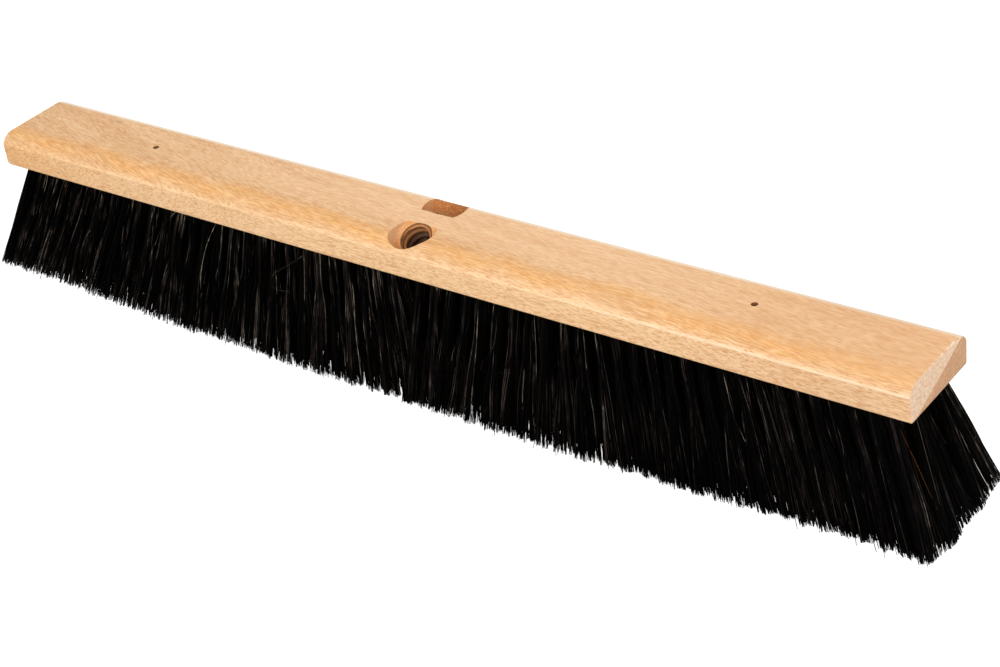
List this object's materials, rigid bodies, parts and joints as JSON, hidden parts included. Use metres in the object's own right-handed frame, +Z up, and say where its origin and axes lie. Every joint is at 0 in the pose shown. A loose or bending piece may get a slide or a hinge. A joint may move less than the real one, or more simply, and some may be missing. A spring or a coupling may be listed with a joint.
{
  "type": "push broom head",
  "caption": "Wide push broom head: a crowned beech block with two tilted handle sockets in its top, one threaded, and rows of springy black horsehair tufts below.",
  "frame": {"origin": "under the middle of the block, on the plane that the fibre tips sweep", "axes": "+X along the block, +Y towards the rear, -Y towards the front, +Z up out of the block's top"},
  "size_m": [0.6438, 0.086, 0.0948],
  "materials": {
    "beech": "bare planed and sanded beech, pinkish tan, fine short flecks along the grain, satin",
    "horsehair": "dyed black horsehair with a few brown and grey hairs, slight sheen, cut square at the tips"
  },
  "bodies": {
    "block": {"block": "beech"},
    "front_row": {"front_row_tufts_01": "horsehair", "front_row_tufts_02": "horsehair", "front_row_tufts_03": "horsehair", "front_row_tufts_04": "horsehair", "front_row_tufts_05": "horsehair", "front_row_tufts_06": "horsehair", "front_row_tufts_07": "horsehair", "front_row_tufts_08": "horsehair", "front_row_tufts_09": "horsehair", "front_row_tufts_10": "horsehair"},
    "second_row": {"second_row_tufts_01": "horsehair", "second_row_tufts_02": "horsehair", "second_row_tufts_03": "horsehair", "second_row_tufts_04": "horsehair", "second_row_tufts_05": "horsehair", "second_row_tufts_06": "horsehair", "second_row_tufts_07": "horsehair", "second_row_tufts_08": "horsehair", "second_row_tufts_09": "horsehair", "second_row_tufts_10": "horsehair"},
    "middle_row": {"middle_row_tufts_01": "horsehair", "middle_row_tufts_02": "horsehair", "middle_row_tufts_03": "horsehair", "middle_row_tufts_04": "horsehair", "middle_row_tufts_05": "horsehair", "middle_row_tufts_06": "horsehair", "middle_row_tufts_07": "horsehair", "middle_row_tufts_08": "horsehair", "middle_row_tufts_09": "horsehair", "middle_row_tufts_10": "horsehair"},
    "fourth_row": {"fourth_row_tufts_01": "horsehair", "fourth_row_tufts_02": "horsehair", "fourth_row_tufts_03": "horsehair", "fourth_row_tufts_04": "horsehair", "fourth_row_tufts_05": "horsehair", "fourth_row_tufts_06": "horsehair", "fourth_row_tufts_07": "horsehair", "fourth_row_tufts_08": "horsehair", "fourth_row_tufts_09": "horsehair", "fourth_row_tufts_10": "horsehair"},
    "rear_row": {"rear_row_tufts_01": "horsehair", "rear_row_tufts_02": "horsehair", "rear_row_tufts_03": "horsehair", "rear_row_tufts_04": "horsehair", "rear_row_tufts_05": "horsehair", "rear_row_tufts_06": "horsehair", "rear_row_tufts_07": "horsehair", "rear_row_tufts_08": "horsehair", "rear_row_tufts_09": "horsehair", "rear_row_tufts_10": "horsehair"}
  },
  "joints": [
    {"name": "front_row_flex", "type": "hinge", "parent": "block", "child": "front_row", "pos_m": [0, -0.021, 0.075], "axis": [1, 0, 0], "range_deg": [-20, 20], "stiffness_Nm_per_rad": 0.5},
    {"name": "second_row_flex", "type": "hinge", "parent": "block", "child": "second_row", "pos_m": [0, -0.0105, 0.075], "axis": [1, 0, 0], "range_deg": [-20, 20], "stiffness_Nm_per_rad": 0.5},
    {"name": "middle_row_flex", "type": "hinge", "parent": "block", "child": "middle_row", "pos_m": [0, 0, 0.075], "axis": [1, 0, 0], "range_deg": [-20, 20], "stiffness_Nm_per_rad": 0.5},
    {"name": "fourth_row_flex", "type": "hinge", "parent": "block", "child": "fourth_row", "pos_m": [0, 0.0105, 0.075], "axis": [1, 0, 0], "range_deg": [-20, 20], "stiffness_Nm_per_rad": 0.5},
    {"name": "rear_row_flex", "type": "hinge", "parent": "block", "child": "rear_row", "pos_m": [0, 0.021, 0.075], "axis": [1, 0, 0], "range_deg": [-20, 20], "stiffness_Nm_per_rad": 0.5}
  ],
  "couplings": [
    {"joint": "front_row_flex", "follows": "middle_row_flex", "ratio": 1},
    {"joint": "second_row_flex", "follows": "middle_row_flex", "ratio": 1},
    {"joint": "fourth_row_flex", "follows": "middle_row_flex", "ratio": 1},
    {"joint": "rear_row_flex", "follows": "middle_row_flex", "ratio": 1}
  ]
}
